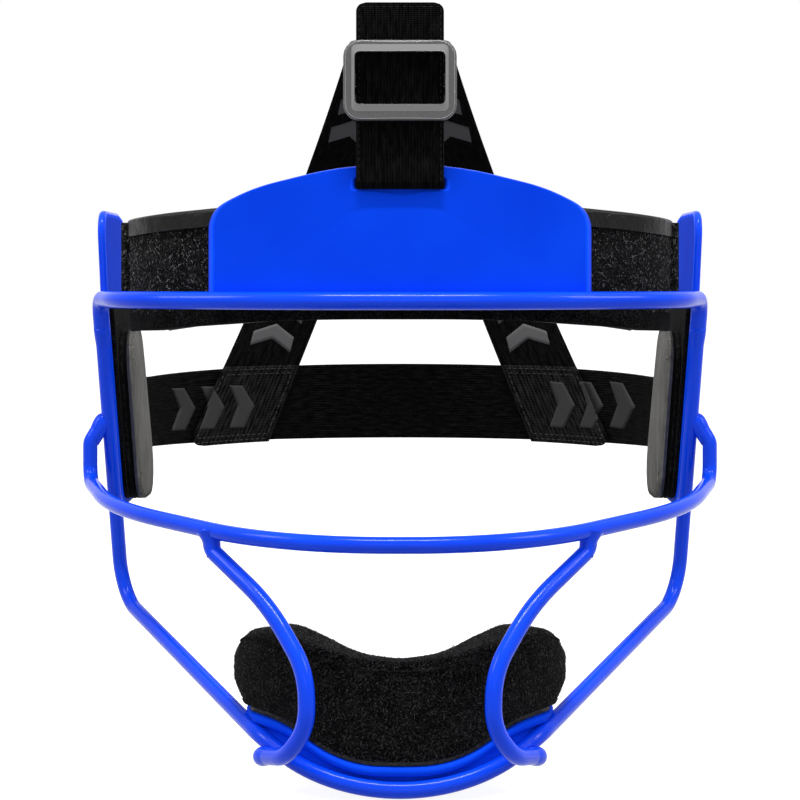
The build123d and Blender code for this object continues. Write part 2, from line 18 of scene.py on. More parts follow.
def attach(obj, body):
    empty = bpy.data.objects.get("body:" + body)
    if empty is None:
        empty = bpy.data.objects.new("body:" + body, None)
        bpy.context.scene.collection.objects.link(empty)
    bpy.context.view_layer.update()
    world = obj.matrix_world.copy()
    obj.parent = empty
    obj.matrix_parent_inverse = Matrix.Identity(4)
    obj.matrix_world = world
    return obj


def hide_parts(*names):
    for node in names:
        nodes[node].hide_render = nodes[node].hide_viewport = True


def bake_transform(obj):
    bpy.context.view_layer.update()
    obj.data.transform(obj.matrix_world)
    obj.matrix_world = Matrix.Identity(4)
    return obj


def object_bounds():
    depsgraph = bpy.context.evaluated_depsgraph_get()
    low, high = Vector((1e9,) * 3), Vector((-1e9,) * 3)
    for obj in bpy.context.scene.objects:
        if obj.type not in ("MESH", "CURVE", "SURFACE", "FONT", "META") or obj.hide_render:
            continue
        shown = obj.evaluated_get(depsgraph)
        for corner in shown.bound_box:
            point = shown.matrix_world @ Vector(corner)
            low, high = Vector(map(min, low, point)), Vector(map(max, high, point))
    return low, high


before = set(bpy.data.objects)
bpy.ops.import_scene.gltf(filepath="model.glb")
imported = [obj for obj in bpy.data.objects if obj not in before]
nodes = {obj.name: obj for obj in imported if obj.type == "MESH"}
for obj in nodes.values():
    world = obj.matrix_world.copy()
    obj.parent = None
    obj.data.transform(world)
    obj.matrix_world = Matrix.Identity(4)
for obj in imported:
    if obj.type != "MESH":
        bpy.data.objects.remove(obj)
cad_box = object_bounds()
MM = 0.001
print(len(nodes), "CAD nodes in", [round(b - a, 4) for a, b in zip(*cad_box)], "m")

# %% [markdown]
# ## Camera
#
# The photograph was taken level, from about 600 mm in front of the brow, so upright lines stay
# upright. The object sits low in the frame, so the lens is shifted down a little, as an
# architect's camera does, and isn't tilted.

# %% Camera
def show(name, data):
    """A new object in the scene."""
    thing = bpy.data.objects.new(name, data)
    bpy.context.scene.collection.objects.link(thing)
    return thing


eye = show("camera", bpy.data.cameras.new("camera"))
eye.location = (0, -600 * MM, 6.5 * MM)
eye.rotation_euler = (pi / 2, 0, 0)
focal_pixels, frame_pixels, horizon_row = 2034, 800, 279
eye.data.lens = eye.data.sensor_width * focal_pixels / frame_pixels
eye.data.shift_y = (horizon_row - frame_pixels / 2) / frame_pixels
eye.data.clip_start = 0.01
bpy.context.scene.camera = eye
bpy.context.scene.view_settings.view_transform = "Standard"
print("lens", round(eye.data.lens, 1), "mm, shift", round(eye.data.shift_y, 3))

# %% [markdown]
# ## Colours and nodes
#
# Colours are written as they look on a screen, in sRGB hex. The renderer counts light, so each
# channel is turned to linear first. A few small functions add shader nodes, so that a material
# reads as a list of what its surface does.

# %% Colour and node helpers
def linear(code):
    """An sRGB hex colour as linear RGBA: channels up to 0.04045 are divided by 12.92, and the
    others are (channel + 0.055) / 1.055 to the power 2.4."""
    channel = array([int(code[k:k + 2], 16) for k in (1, 3, 5)]) / 255
    low, high = channel / 12.92, ((channel + 0.055) / 1.055) ** 2.4
    return (*np.where(channel <= 0.04045, low, high).tolist(), 1.0)


def add(tree, kind, settings=None, inputs=None):
    """Adds a node, sets its properties, and gives each named input a value or a link."""
    node = tree.nodes.new("ShaderNode" + kind)
    for name, value in (settings or {}).items():
        setattr(node, name, value)
    for name, value in (inputs or {}).items():
        if isinstance(value, bpy.types.NodeSocket):
            tree.links.new(value, node.inputs[name])
        else:
            node.inputs[name].default_value = value
    return node


def start(name, roughness, gloss=0.5, sheen=0.0):
    """A new material with one Principled shader, whose own sockets get the constants."""
    material = bpy.data.materials.new(name)
    material.use_nodes = True
    tree = material.node_tree
    tree.nodes.clear()
    shader = add(tree, "BsdfPrincipled", inputs={
        "Roughness": roughness, "Specular IOR Level": gloss, "Sheen Weight": sheen})
    add(tree, "OutputMaterial", inputs={"Surface": shader.outputs[0]})
    return material, tree, shader


def plain(name, code, roughness, gloss=0.5):
    """A material of one colour."""
    material, tree, shader = start(name, roughness, gloss)
    shader.inputs["Base Color"].default_value = linear(code)
    return material


def tint(tree, shader, fac, *stops):
    """Links a ramp between two (position, hex colour) stops to the base colour."""
    node = add(tree, "ValToRGB", inputs={"Fac": fac})
    for element, (position, code) in zip(node.color_ramp.elements, stops):
        element.position, element.color = position, linear(code)
    tree.links.new(node.outputs["Color"], shader.inputs["Base Color"])


def emboss(tree, shader, height, strength, depth, inverted=False):
    """Links a bump with a depth in millimetres to the normal."""
    bump = add(tree, "Bump", {"invert": inverted},
               {"Height": height, "Strength": strength, "Distance": depth * MM})
    tree.links.new(bump.outputs[0], shader.inputs["Normal"])


def noise(tree, where, grain, detail, roughness=0.5, distortion=0.0):
    """Noise with a grain in millimetres."""
    return add(tree, "TexNoise", inputs={
        "Vector": where, "Scale": 1 / (grain * MM), "Detail": detail, "Roughness": roughness,
        "Distortion": distortion}).outputs["Fac"]


def math(tree, operation, *values):
    """The result of one arithmetic step."""
    return add(tree, "Math", {"operation": operation}, dict(enumerate(values))).outputs[0]


def grained(name, shine, first, share, second, stops, strength, depth):
    """A material whose colour and bump both follow the first noise + share x the second."""
    material, tree, shader = start(name, *shine)
    where = add(tree, "TexCoord").outputs["Object"]
    height = math(tree, "MULTIPLY_ADD", noise(tree, where, *second), share,
                  noise(tree, where, *first))
    tint(tree, shader, height, *stops)
    emboss(tree, shader, height, strength, depth)
    return material


# %% [markdown]
# ## Light
#
# A product shot of glossy rod needs broad, soft sources, because the highlight on a rod is a
# picture of the lamp. A long softbox overhead draws the pale line along the brow bar, two at the
# sides draw the lines down the wires, and a weak front one opens the shadows. The white behind
# comes from Light Path, so it lights nothing.

# %% Lamps, floor and background
def softbox(name, place, aim, wide, high, power):
    """A rectangular area lamp at a place in metres, turned to face its aim."""
    lamp = bpy.data.lights.new(name, "AREA")
    lamp.shape, lamp.size, lamp.size_y, lamp.energy = "RECTANGLE", wide, high, power
    thing = show(name, lamp)
    thing.location = place
    thing.rotation_euler = (Vector(aim) - Vector(place)).to_track_quat("-Z", "Y").to_euler()


def seen_directly(tree):
    """1 for rays that show the background, straight or in a gloss or glass, and otherwise 0."""
    path = add(tree, "LightPath").outputs
    either = math(tree, "MAXIMUM", path["Is Camera Ray"], path["Is Glossy Ray"])
    return math(tree, "MAXIMUM", either, path["Is Transmission Ray"])


softbox("softbox_above", (0, -0.25, 1.05), (0, 0.05, 0), 0.5, 0.04, 13)
for side, x in (("left", -1), ("right", 1)):
    softbox(f"softbox_{side}", (x, -0.35, 0.85), (0, 0, -0.03), 0.35, 0.5, 7)
softbox("softbox_front", (0, -1.3, 0.25), (0, 0, -0.03), 0.7, 0.5, 1)

world = bpy.data.worlds.new("studio")
world.use_nodes = True
bpy.context.scene.world = world
sky = world.node_tree
sky.nodes.clear()
around, behind_it = (add(sky, "Background", inputs={"Color": (1, 1, 1, 1), "Strength": level}
                         ).outputs[0] for level in (0.5, 1.0))
mixed = add(sky, "MixShader", inputs={"Fac": seen_directly(sky), 1: around, 2: behind_it})
add(sky, "OutputWorld", inputs={"Surface": mixed.outputs[0]})

floor_height = cad_box[0].z - 1.0 * MM
floor = show("floor", bpy.data.meshes.new("floor"))
floor.data.from_pydata([(x, y, floor_height) for x, y in ((-4, -4), (4, -4), (4, 9), (-4, 9))],
                       [], [(0, 1, 2, 3)])
paper, tree, shader = start("white backdrop paper", 0.9)
shader.inputs["Base Color"].default_value = linear("#9C9C9C")
shader.inputs["Emission Color"].default_value = linear("#FFFFFF")
tree.links.new(math(tree, "MULTIPLY", seen_directly(tree), 0.9),
               shader.inputs["Emission Strength"])
floor.data.materials.append(paper)

# %% [markdown]
# ## From arrays to pieces
#
# Nearly every piece here is a grid: rows along it and columns round its section. One function
# joins the points into faces, closes the ends, and turns the faces outward by the sign of the
# volume they enclose. Others put the mesh on the body it moves with, and mirror a left piece for
# the right.

# %% Grid surfaces
def grid(*axes):
    """Points from their coordinates, each of them spread to the same shape."""
    return stack(np.broadcast_arrays(*axes), -1)


def surface(name, points, material, ring=False, uv=None):
    """A closed shell from an array of points, rows by columns by 3, in millimetres, or from
    many such arrays. Columns close round the section, and in a ring the rows close too. The
    faces are quads between neighbours, and the volume is a sixth of the sum of a . (b x c)
    over the triangles."""
    grids = points[None] if points.ndim == 3 else points
    count, rows, columns = grids.shape[:3]
    i, j = np.divmod(np.arange((rows if ring else rows - 1) * columns), columns)
    corner = array([[i, i, i + 1, i + 1], [j, j + 1, j + 1, j]]).transpose(0, 2, 1)
    quads = corner[0] % rows * columns + corner[1] % columns
    ends = [] if ring else [np.arange(columns)[::-1], (rows - 1) * columns + np.arange(columns)]
    middle = grids[0].reshape(-1, 3) - grids[0].mean((0, 1))
    a, b, c, d = (middle[quads[:, k]] for k in range(4))
    volume = (a * np.cross(b, c)).sum() + (a * np.cross(c, d)).sum()
    for end in ends:
        volume += (middle[end[0]] * np.cross(middle[end], middle[np.roll(end, -1)])).sum()
    if volume < 0:
        corner, quads, ends = corner[..., ::-1], quads[:, ::-1], [end[::-1] for end in ends]
    faces = [face for first in range(0, count * rows * columns, rows * columns)
             for part in (quads, ends) for face in (array(part) + first).tolist()]
    mesh = bpy.data.meshes.new(name)
    mesh.from_pydata((grids.reshape(-1, 3) * MM).tolist(), [], faces)
    if uv is not None:
        layer = mesh.uv_layers.new(name="UVMap")
        spots = uv[corner[0], corner[1]].reshape(-1, 2)
        caps = [uv[end // columns, end % columns] for end in ends]
        layer.data.foreach_set("uv", (joined([spots, *caps]) * MM).ravel())
    mesh.polygons.foreach_set("use_smooth", np.ones(len(mesh.polygons), bool))
    mesh.materials.append(material)
    return mesh


def build(name, points, material, body, slot, *replaced, strip=None, **options):
    """A surface on its CAD body, in place of the CAD nodes it stands for. A piece given no body is
    left unattached. A strip is the first and last of the columns whose faces get a second material,
    and that material."""
    mesh = surface(name, points, material, **options)
    if strip:
        mesh.materials.append(strip[2])
        column = np.arange(len(mesh.polygons)) % points.shape[1]
        chosen = (column >= strip[0]) & (column < strip[1])
        mesh.polygons.foreach_set("material_index", chosen.astype(np.int32))
    thing = show(name, mesh)
    if body:
        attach(thing, body)
    if replaced:
        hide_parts(*replaced)
    return thing


def build_both(name, points, material, body, slot, *replaced, **options):
    """The wearer's left piece, and its mirror image on the right. A name's {} is the side."""
    return [build(name.format(side), points * array([mirror, 1, 1]), material,
                  body.format(side), slot, *(node.format(side) for node in replaced), **options)
            for side, mirror in (("left", 1.0), ("right", -1.0))]


# %% [markdown]
# ## Bends
#
# Rods, straps and pad sections all follow straight runs joined by arcs. The same rule as in
# the CAD source gives each arc its radius: the one asked for, or as much as its runs allow.

# %% Bent lines
def unit(vectors):
    """Vectors divided by their lengths."""
    return vectors / np.linalg.norm(vectors, axis=-1, keepdims=True)


def bent(corners, radii, closed=False, steps=7):
    """Runs joined by tangent arcs. An arc's centre lies on the corner's bisector, its radius
    over the cosine of half the turn from the corner."""
    corners = array(corners, float)
    if closed:
        corners = joined([corners[-1:], corners, corners[:1]])
    arcs = []
    for before, corner, after, radius in zip(corners, corners[1:], corners[2:], radii):
        arrive, leave = unit(corner - before), unit(after - corner)
        half = np.arccos(clip(arrive @ leave, -1, 1)) / 2
        shorter = min(np.linalg.norm(corner - before), np.linalg.norm(after - corner))
        most = 0.46 * shorter / np.tan(half)
        radius = most if radius is None else min(radius, most)
        inward, onward = unit(leave - arrive), unit(leave + arrive)
        turn = linspace(-half, half, steps)[:, None]
        centre = corner + inward * radius / cos(half)
        arcs.append(centre + radius * (sin(turn) * onward - cos(turn) * inward))
    if closed:
        return joined(arcs)
    return joined([corners[:1], *arcs, corners[-1:]])


def lengths(line):
    """The distance along a line at each of its points: the running sum of its steps."""
    return joined([[0], np.cumsum(np.linalg.norm(np.diff(line, axis=0), axis=1))])


def at(line, along, here=None):
    """Points of a line at given distances along it."""
    here = lengths(line) if here is None else here
    return grid(*(np.interp(along, here, part) for part in line.T))


def filled(line, spacing):
    """The line's own points, with more between them so that none is further than spacing."""
    here = lengths(line)
    extra = np.arange(0, here[-1], spacing)
    return at(line, np.union1d(np.round(here, 3), np.round(extra, 3)))


def filled_loop(corners, radii, spacing=1.2):
    """A closed outline with rounded corners, and points no further apart than spacing."""
    loop = bent(corners, radii, True, steps=6)
    return filled(joined([loop, loop[:1]]), spacing)[:-1]


def box(left, right, low, high, radius, spacing=1.2):
    """A rectangle with rounded corners."""
    return filled_loop([(left, low), (right, low), (right, high), (left, high)], [radius] * 4,
                       spacing)


def heading(line):
    """The direction along a line at each point: the step over it, divided by its length."""
    return unit(np.gradient(line, axis=0))


def left_of(line):
    """The direction to the left of a flat line at each point: (-Y, X) of its heading."""
    ahead = heading(line)
    return grid(-ahead[:, 1], ahead[:, 0])


def round_in(past, radius):
    """How far a round corner has come in, at a distance past its start:
    radius - sqrt(radius^2 - past^2)."""
    return radius - sqrt(radius ** 2 - clip(past, 0, radius) ** 2)


def ring_round(axis, aside, columns):
    """Unit vectors all round each axis: cos t x side + sin t x (axis x side)."""
    side = unit(np.cross(axis, aside))
    turn = linspace(0, 2 * pi, columns + 1)[:-1, None]
    return cos(turn) * side[..., None, :] + sin(turn) * np.cross(axis, side)[..., None, :]


# %% [markdown]
# ## Powder coat
#
# The cage is steel rod under polyester powder, sprayed on dry and baked into a thick, even, glossy
# skin, so welds look soft and no steel shows. To the eye that is one strong colour, a broad soft
# highlight, and a faint orange peel about two millimetres across where a highlight crosses it.

# %% Powder coat material
def powder_coat(name, roughness, gloss):
    """Blue powder with a slow drift of colour and the orange peel."""
    material, tree, shader = start(name, roughness, gloss)
    where = add(tree, "TexCoord").outputs["Object"]
    tint(tree, shader, noise(tree, where, 30, 2.0), (0.3, "#053EE0"), (0.7, "#0745EA"))
    emboss(tree, shader, noise(tree, where, 2.2, 1.0), 0.25, 0.04)
    return material


coat = powder_coat("polyester powder coat, glossy", 0.2, 0.13)
sheet_coat = powder_coat("polyester powder coat, satin", 0.6, 0.02)
cage = ("root", "cage_coat")


def coated(material, *names):
    """Gives CAD nodes their material."""
    for name in names:
        nodes[name].data.materials.clear()
        nodes[name].data.materials.append(material)


rods = ("brow_bar", "cheek_bar", "chin_wire", "side_wire_left", "side_wire_right",
        "ring_wire_left", "ring_wire_right")
coated(coat, *rods)
print("coated", len(rods), "rods")

# %% [markdown]
# ## Plates
#
# Each plate is coated steel sheet with a slot that a strap passes through. With its one hole it is
# a ring, so its grid runs round the slot one way and round its own thickness the other: out from
# the slot to the rim, over it in a half circle, back along the other face and through the slot.
# The rim has the glossy coat.

# %% Plate grids
sheet, sheet_edge = 2.4, 1.15
all_round = linspace(-pi, pi, 481)[:-1]


def seen_from(centre, outline):
    """An outline's distance from a centre at each angle all round."""
    away = outline - centre
    angle, reach = np.arctan2(away[:, 1], away[:, 0]), np.linalg.norm(away, axis=1)
    return np.interp(all_round, angle, reach, period=2 * pi)


def looking_out(centre, reach):
    """Points at a reach from the centre: centre + reach x (cos t, sin t)."""
    return centre + reach[..., None] * grid(cos(all_round), sin(all_round))[:, None]


def ring_plate(rim, slot):
    """Outline and depth of a plate with one hole. Each row looks out from the slot's middle at
    one angle. A column's place is slot + share x (rim - slot), and near both edges it follows
    a round of the edge radius."""
    centre = slot.mean(0)
    near, far = seen_from(centre, slot), seen_from(centre, rim)
    curl = linspace(0, pi, 9)
    flat = array([0, 0.02, 0.1, 0.36, 0.64, 0.9, 0.98, 1])
    share = joined([flat, np.ones(9), flat[::-1], np.zeros(9)])
    over = sheet_edge * joined([0 * flat, sin(curl), 0 * flat, -sin(curl)])
    rounded = joined([np.ones(8), cos(curl), -np.ones(8), -cos(curl)])
    depth = rounded * sheet_edge + np.sign(np.round(rounded, 6)) * (sheet / 2 - sheet_edge)
    reach = (near + sheet_edge)[:, None] * (1 - share) + (far - sheet_edge)[:, None] * share + over
    return looking_out(centre, reach), depth


rim_strip = (7, 17, coat)

# %% [markdown]
# ### The brow line
#
# The brow bar's own line also carries the forehead plate and every layer of the forehead pad, each
# pushed back towards the head by a distance.

# %% Brow line and forehead plate
def both_ways(outline):
    """A right-hand outline repeated on the left, in order."""
    return [(-x, *rest) for x, *rest in reversed(outline)] + list(outline)


brow_end = (97.4, 60.0)
brow = filled(bent(both_ways([(36.04, 0.0), (86.0, 27.0), brow_end]), [None] * 4, steps=40), 1.0)


def behind_brow(x, back):
    """The Y at which the brow line, pushed back by a distance, crosses each X."""
    lines = brow + left_of(brow) * back
    return np.interp(x, lines[:, 0], lines[:, 1])


rise, half_plate, plate_top = 13.5, 58.0, 40.6
arch = (half_plate ** 2 + rise ** 2) / (2 * rise)
quarter = np.arcsin(half_plate / arch) / 4
arch_corners = [(arch / cos(quarter) * sin(k * quarter),
                 plate_top - arch + arch / cos(quarter) * cos(k * quarter))
                for k in (3, 1, -1, -3)]
outline = filled_loop([(-half_plate, -2.0), (half_plate, -2.0), (half_plate, plate_top - rise),
                       *arch_corners, (-half_plate, plate_top - rise)],
                      [0.5, 0.5, 9] + [None] * 4 + [9], 1.0)
flatwise, depth = ring_plate(outline, box(-13.2, 13.2, 32.8, 36.7, 1.2, 0.3))
x, z = flatwise[..., 0], flatwise[..., 1]
front, back = behind_brow(x, sheet), behind_brow(x, 2 * sheet)
y = (front + back) / 2 - (back - front) * depth / sheet
build("forehead_plate_coated", grid(x, y, z), sheet_coat, *cage, "forehead_plate", ring=True,
      strip=rim_strip)
print("forehead plate", x.shape, "points")


def cord_along(line, radius):
    """A thin round cord along a line of points: line + radius x the ring round it."""
    return line[:, None] + radius * ring_round(heading(line), [0, 0, 1.0], 8)


x = linspace(-12.7, 12.7, 25)
build("slot_bead", cord_along(grid(x, behind_brow(x, 3.4), 32.75), 0.6), sheet_coat, *cage)

# %% [markdown]
# ### The side plane
#
# The side wires and temple plates lie in two planes that lean in a little towards the jaw. A
# place there is a distance back, a height, and a depth outward from the plate's middle.

# %% Side plane and temple plates
lean, temple_inset = 0.04541, 1.0
outward = array([1, 0, -lean]) / np.hypot(1, lean)
upward = array([lean, 0, 1]) / np.hypot(1, lean)


def in_side(flatwise, depth):
    """Points of the wearer's left side plane, from its corner at the brow bar."""
    back, height = flatwise[..., :1], flatwise[..., 1:]
    return (array([*brow_end, 0.0]) + back * array([0, 1.0, 0]) + height * upward
            + depth[..., None] * outward)


temple_rim = filled_loop([(2.4, 29), (66, 29), (66, -70), (16.83, -70), (2.4, 0)],
                         [8, 28, 24, 6, 0.5], 1.0)
flatwise, depth = ring_plate(temple_rim, box(57.2, 60.8, -54.75, -28.45, 1.2, 0.3))
build_both("temple_plate_{}_coated", in_side(flatwise, depth - temple_inset), sheet_coat,
           *cage, "temple_plate_{}", ring=True, strip=rim_strip)

# %% [markdown]
# ## Chin plate
#
# A small curved tray carries the chin pad. Its front lip is folded back on itself, which makes
# a round bead, and a flange goes down from it to the chin wire. Both are profiles carried
# round the chin's own centre.

# %% Chin tray
tray_line = bent(both_ways([(14.985, -127.6), (32.985, -117.5), (45, -116.2)]), [None] * 4,
                 steps=24)
chin_back, lip, tray_depth, bead_round, tongue_round = 15.02, 57.57, 22.0, 1.3, 6


def tray_height(x):
    """The tray's top at each X."""
    return np.interp(x, tray_line[:, 0], tray_line[:, 1])


def round_chin(radius, turn):
    """X and Y about the chin's centre, at an angle from straight ahead: radius x sin of it, and
    the centre's Y less radius x cos of it."""
    return radius * sin(turn), chin_back - radius * cos(turn)


curl = linspace(-pi / 2, pi / 2, 9)
radii = array([lip - tray_depth, 40, 44, 48.85, 52, 55, lip - bead_round])
tray_radius = joined([radii, lip - bead_round + bead_round * cos(curl), radii[::-1],
                      lip - tray_depth - 0.9 * cos(curl)])
tray_sink = joined([0 * radii, bead_round * (sin(curl) + 1), 0 * radii + sheet,
                    sheet / 2 * (1 - sin(curl))])
reach = np.minimum(np.arcsin(clip(44.3 / tray_radius, -1, 1)),
                   np.arccos(clip((chin_back + 4.7) / tray_radius, -1, 1)))
reach = reach - round_in(tongue_round - (lip - tray_radius), tongue_round) / tray_radius
share = linspace(-1, 1, 161)[:, None]
x, y = round_chin(tray_radius, share * reach)
end_gap = clip((1 - np.abs(share)) * 50, 0, 1.2)
full = sqrt(1 - (1 - end_gap / 1.2) ** 2) * 0.999 + 0.001
z = tray_height(x) - sheet / 2 + (sheet / 2 - tray_sink) * full
build("chin_tray", grid(x, y, z), sheet_coat, *cage, "chin_plate")
print("chin tray", x.shape, "points")

# The flange's foot follows the chin wire: a sagging arc with a straight run at each end.
across = linspace(-34, 34, 61)
sagged = 48.2 - sqrt(48.2 ** 2 - across ** 2)
dip = radians(36.5)
wire = grid(across, -41.85 + sagged * cos(dip), -133.8 + sagged * sin(dip))
ends = array(both_ways([(39.67, -26.03, -122.09), (46.5, -12.3, -119.2)]))
wire = joined([ends[:2], wire, ends[2:]])
foot_x = linspace(-45.3, 45.3, 121)
foot = at(wire, foot_x, wire[:, 0])
head_radius = 55.6
head_x, head_y = round_chin(head_radius, np.arcsin(foot_x * 0.975 / head_radius))
head = grid(head_x, head_y, tray_height(head_x) - sheet / 2)
fall = linspace(0, 1, 9)[None, :, None]
bow = 1.2 * sin(pi * fall) * array([0, 1.0, 0])
wall = head[:, None] * (1 - fall) + foot[:, None] * fall + bow
wall = joined([wall, wall[:, ::-1] + array([0, 2.0, 0])], 1)
build("chin_flange", wall, sheet_coat, *cage)

# %% [markdown]
# ## Welds
#
# A weld leaves a small flared collar where one rod stands on another. A collar is a turned shape:
# a radius at each distance along the smaller rod. The ring wires' cut ends are ground round, so
# each ends in a swollen half ball.

# %% Turned collars
def turned(start, onward, along, radii):
    """Rings about an axis: start + onward x along, moved out by the radius all round."""
    onward = unit(array(onward, float))
    return (array(start, float) + array(along)[:, None, None] * onward
            + array(radii)[:, None, None] * ring_round(onward, [0.31, 0.83, 0.46], 24))


share = linspace(0, 1, 9)
ring_top = turned((54, -22.19, -64.89), (-0.19, -0.24, -0.95), 7.5 * share,
                  2.2 + 1.86 * (1 - share) ** 3)
cheek_end = turned((97.63, 68.44, -40), (0.41, -0.2, -0.89),
                   [-2.5, -2.35, -1.9, -1.1, 0, 1.5, 3.5, 6, 8],
                   [0.05, 0.9, 1.7, 2.35, 2.7, 2.8, 2.7, 2.45, 2.2])
side_top = turned((96.98, 61.9, -9.3), (-0.04, 0.21, -0.98), 9 * share,
                  2.2 + 0.54 * (1 + cos(pi * share)) / 2)
ring_end = turned((38.24, -32.07, -126.76), (7.24, 14.3, -2.99),
                  [-6, -4, -2, 0, 1.2, 2.0, 2.5, 2.8, 2.9],
                  [1.7, 2.25, 2.6, 2.75, 2.6, 2.0, 1.4, 0.8, 0.05])
collars = array([ring_top, cheek_end, side_top, ring_end])
build_both("weld_collars_{}", collars, coat, *cage)
print("weld collars", 2 * len(collars))

# %% [markdown]
# ## Elastic webbing
#
# The straps are one-inch knitted polyester over rubber. Warp cords stand up along the strap as
# ribs about 0.9 mm apart, with a finer weft across them, matt black with a grey bloom where the
# knit catches light. The pattern follows each strap's own UV map, which is in real metres, so it
# bends with the strap.

# %% Webbing material
def webbing_material(name, dark, light, rib, weft, bloom):
    """Ribs: a sine of the distance across. Weft: a sine of the distance along, stronger
    between the ribs. Noise drawn out along the strap gives the worn, uneven bloom."""
    material, tree, shader = start(name, 0.82, 0.02, bloom)
    shader.inputs["Sheen Roughness"].default_value = 0.45
    where = add(tree, "UVMap").outputs[0]
    across, along = add(tree, "SeparateXYZ", inputs={0: where}).outputs[:2]
    ribs, cross = (math(tree, "SINE", math(tree, "MULTIPLY", part, 2 * pi / (period * MM)))
                   for part, period in ((across, rib), (along, weft)))
    knit = math(tree, "MULTIPLY_ADD", cross, 0.45, ribs)
    stretched = add(tree, "Mapping", inputs={"Vector": where, "Scale": (1, 0.22, 1)})
    streak = noise(tree, stretched.outputs[0], 1.1, 4.0)
    shade = math(tree, "MULTIPLY_ADD", knit, 0.09, streak)
    tint(tree, shader, shade, (0.36, dark), (0.74, light))
    emboss(tree, shader, math(tree, "MULTIPLY_ADD", streak, 1.2, knit), 0.8, 0.12)
    return material


webbing = webbing_material("knitted elastic webbing", "#010101", "#141414", 0.9, 0.6, 0.01)
patch_cloth = webbing_material("box-stitched webbing patch", "#030303", "#262626", 1.3, 1.1, 0.02)

# %% [markdown]
# ## Straps on a path
#
# A strap's section is a thin stadium: two flat faces joined by half circles, as woven edges
# are. The front strap, the crown loop and the crown strap lie in the middle plane, so their
# paths are drawn in Y and Z. The two tabs are drawn from above.

# %% Straps that follow a path
strap_width, strap_thick, tab_width = 26.0, 1.6, 25.1
head_back, back_height, crown_height, crown_radius = 109.0, -41.6, 20.0, 79.1


def stadium(width, thick):
    """Distance across and lift off the middle for each row's section: 17 points on each face,
    and a half circle of the half thickness at each edge."""
    flat = linspace(1, -1, 17)
    curl = linspace(0, pi, 7)[1:-1]
    share = joined([flat, -np.ones(5), flat[::-1], np.ones(5)])
    over = joined([0 * flat, -sin(curl), 0 * flat, sin(curl)]) * thick / 2
    lift = joined([1 + 0 * flat, cos(curl), 0 * flat - 1, -cos(curl)]) * thick / 2
    return share * (width[:, None] / 2 - thick / 2) + over, lift


def knit_uv(across, along):
    """UV from the distances across and along. The first column comes again, where the section
    closes, and so does the last row."""
    uv = grid(across, along)
    uv = joined([uv, uv[:, :1]], 1)
    return joined([uv, uv[-1:]])


def strap(build_it, name, line, sideways, width, body, *replaced):
    """A strap along a line: line + sideways x across + normal x lift."""
    normal = np.cross(heading(line), sideways)
    across, lift = stadium(np.broadcast_to(width, len(line)), strap_thick)
    points = line[:, None] + across[..., None] * sideways + lift[..., None] * normal[:, None]
    return build_it(name, points, webbing, body, "webbing", *replaced,
                    uv=knit_uv(across, lengths(line)[:, None]))


def middle_line(*corners):
    """A line in the middle plane, in Y and Z, with four rounded corners."""
    return grid(0, *filled(bent(corners, [1.6] * 4), 1.6).T)


widthways, tail_round = array([1.0, 0, 0]), 2.6
line = middle_line((1.3, 88.2), (1.3, 33.9), (6.77, 33.9), (6.77, 42.2), (2.95, 46.02),
                   (2.95, 50.0))
line = joined([at(line, linspace(0, tail_round, 8)), line[lengths(line) > tail_round]])
width = strap_width - 2 * round_in(tail_round - lengths(line), tail_round)
strap(build, "front_strap_webbing", line, widthways, width, "root", "front_strap")
print("front strap", round(lengths(line)[-1]), "mm along its path")

line = middle_line((5.7, 76.0), (5.7, 71.55), (3.2, 69.05), (3.2, 62.75), (7.4, 62.75),
                   (7.4, 76.0))
strap(build, "crown_loop_webbing", line, widthways, strap_width, "adjuster", "crown_loop")

turn = radians(linspace(31.22, -8, 40))
over_head = grid(head_back + crown_radius * sin(turn), crown_height + crown_radius * cos(turn))
down = bent([tuple(over_head[-1]), (7.4, 85.6), (7.4, 76.0)], [9.0])
line = grid(0, *filled(joined([over_head, down[1:]]), 2.0).T)
piece = strap(build, "crown_strap_webbing", line, widthways, strap_width, None, "crown_strap")
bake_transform(piece)

tab_corners = [(x, y, back_height) for x, y in (
    (92.62, 131), (92.62, 129.5), (91.64, 126), (91.64, 119), (97.38, 119), (97.38, 129),
    (93.87, 135), (87.88, 151))]
line = filled(bent(tab_corners, [1.6] * 4 + [None, None]), 1.2)
strap(build_both, "strap_tab_{}_webbing", line, array([0, 0, 1.0]), tab_width, "root",
      "strap_tab_{}")

# %% [markdown]
# ## Straps round the head
#
# The back strap is a band of a cylinder about the head's axis. The two crown straps run down the
# back of a dome, straight and slanted as seen from the front, so each row of their grid lies at
# one height, with its points pushed back on to the dome.

# %% Back strap and crown straps
strap_radius, middle_width = 95.2, 29.3
turn = radians(linspace(-76.6, 76.6, 161))
y = head_back + strap_radius * cos(turn)
tall = tab_width + (middle_width - tab_width) * (y - 131) / (205.8 - 131)
across, lift = stadium(tall, strap_thick)
radius = strap_radius + lift
points = grid(radius * sin(turn)[:, None], head_back + radius * cos(turn)[:, None],
              across + back_height)
build("back_strap_webbing", points, webbing, "root", "webbing", "back_strap",
      uv=knit_uv(across, (strap_radius * turn)[:, None]))
print("back strap", round(np.ptp(strap_radius * turn)), "mm round the back")

slant, patch_thick = radians(21.5), 0.8
half_level = strap_width / 2 / cos(slant)
foot_heights = linspace(-56.25, -51, 13)


